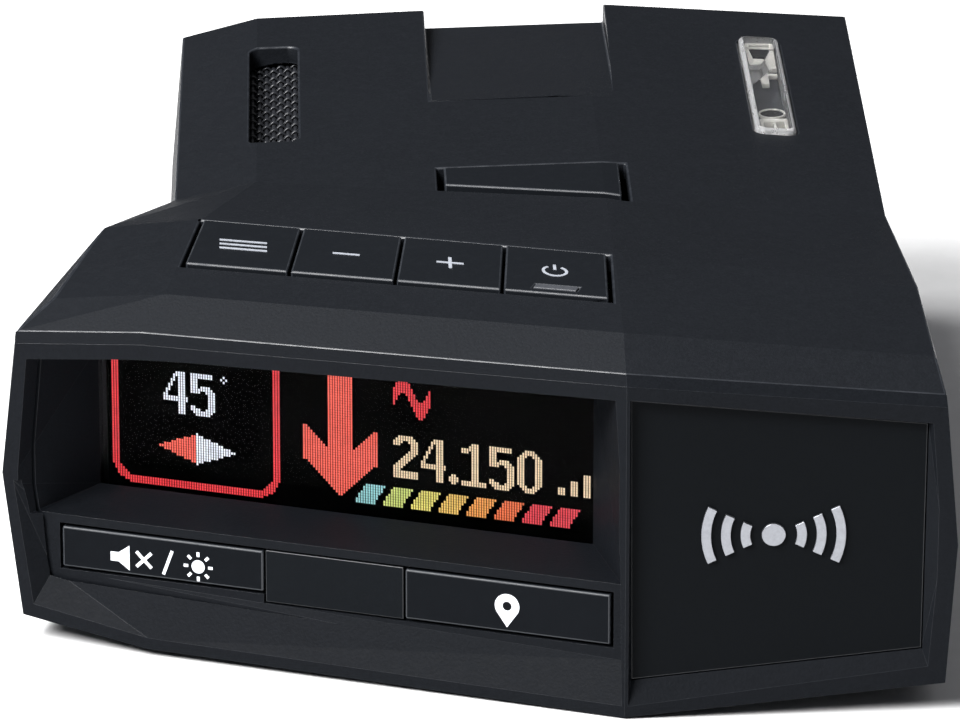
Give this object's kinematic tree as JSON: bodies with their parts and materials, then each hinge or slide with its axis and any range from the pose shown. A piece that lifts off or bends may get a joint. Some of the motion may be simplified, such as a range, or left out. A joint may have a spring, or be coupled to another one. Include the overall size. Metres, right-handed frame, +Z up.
{
  "type": "radar detector",
  "caption": "Dashboard radar detector: angular two-part casing with a recessed display, sprung keys, a bracket slot with a sprung release, a speaker, clear lenses and side sockets.",
  "frame": {"origin": "centre of the object's bounding box in plan, on the flat underside", "axes": "+Y runs from the driver's display side to the windscreen end, +X to the driver's right along the face, +Z up"},
  "size_m": [0.0882, 0.1134, 0.0363],
  "materials": {
    "casing": "fine matte texture",
    "keycap": "satin",
    "trim": "fine satin",
    "badge": "satin silver",
    "window": "polished, tinted",
    "display": "dark glass",
    "clear_lens": "polished",
    "dark_lens": "polished, tinted",
    "bright_metal": "satin",
    "case_screw_metal": "black oxide",
    "board": "solder mask",
    "component": "matt epoxy",
    "switch": "satin",
    "ribbon": "film",
    "latch": "satin acetal",
    "grille": "woven mesh",
    "speaker_metal": "plated",
    "speaker_paper": "paper",
    "ceramic": "ceramic",
    "label": "film"
  },
  "bodies": {
    "casing": {"top_cover": "casing", "bottom_cover": "casing", "front_bezel": "casing", "trim_panel": "trim", "emblem": "badge", "display_window": "window", "display_panel": "display", "display_frame": "bright_metal", "display_ribbon": "ribbon", "top_key_switches": "switch", "top_key_board": "board", "centre_insert": "casing", "face_key_switches": "switch", "face_key_board": "board", "release_spring": "bright_metal", "bracket_guide": "casing", "speaker_grille": "grille", "speaker_frame": "speaker_metal", "speaker_cone": "speaker_paper", "speaker_magnet": "speaker_metal", "top_laser_lens": "clear_lens", "top_laser_sensor": "component", "front_laser_lens": "dark_lens", "front_laser_sensor": "component", "main_board": "board", "board_chips": "component", "rf_shield": "bright_metal", "front_horn": "bright_metal", "rear_horn": "bright_metal", "gps_antenna": "ceramic", "power_socket": "component", "audio_socket": "component", "usb_socket": "bright_metal", "status_buzzer": "component", "board_screws": "bright_metal", "case_screws": "case_screw_metal", "rating_plate": "label"},
    "menu_button": {"menu_key": "keycap"},
    "minus_button": {"minus_key": "keycap"},
    "plus_button": {"plus_key": "keycap"},
    "power_button": {"power_key": "keycap", "power_light_pipe": "clear_lens"},
    "mute_button": {"mute_key": "keycap"},
    "mark_button": {"mark_key": "keycap"},
    "bracket_release": {"release_button": "keycap", "release_latch": "latch"}
  },
  "joints": [
    {"name": "menu_press", "type": "slide", "parent": "casing", "child": "menu_button", "axis": [0, 0, -1], "range_m": [0, 0.0006], "stiffness_N_per_m": 800, "springref_m": -0.0006},
    {"name": "minus_press", "type": "slide", "parent": "casing", "child": "minus_button", "axis": [0, 0, -1], "range_m": [0, 0.0006], "stiffness_N_per_m": 800, "springref_m": -0.0006},
    {"name": "plus_press", "type": "slide", "parent": "casing", "child": "plus_button", "axis": [0, 0, -1], "range_m": [0, 0.0006], "stiffness_N_per_m": 800, "springref_m": -0.0006},
    {"name": "power_press", "type": "slide", "parent": "casing", "child": "power_button", "axis": [0, 0, -1], "range_m": [0, 0.0006], "stiffness_N_per_m": 800, "springref_m": -0.0006},
    {"name": "mute_press", "type": "slide", "parent": "casing", "child": "mute_button", "axis": [0.3486, 0.9373, 0], "range_m": [0, 0.0006], "stiffness_N_per_m": 800, "springref_m": -0.0006},
    {"name": "mark_press", "type": "slide", "parent": "casing", "child": "mark_button", "axis": [0.3486, 0.9373, 0], "range_m": [0, 0.0006], "stiffness_N_per_m": 800, "springref_m": -0.0006},
    {"name": "release_press", "type": "slide", "parent": "casing", "child": "bracket_release", "axis": [0, 0, -1], "range_m": [0, 0.0015], "stiffness_N_per_m": 500, "springref_m": -0.002, "deforming": ["release_spring"]}
  ]
}
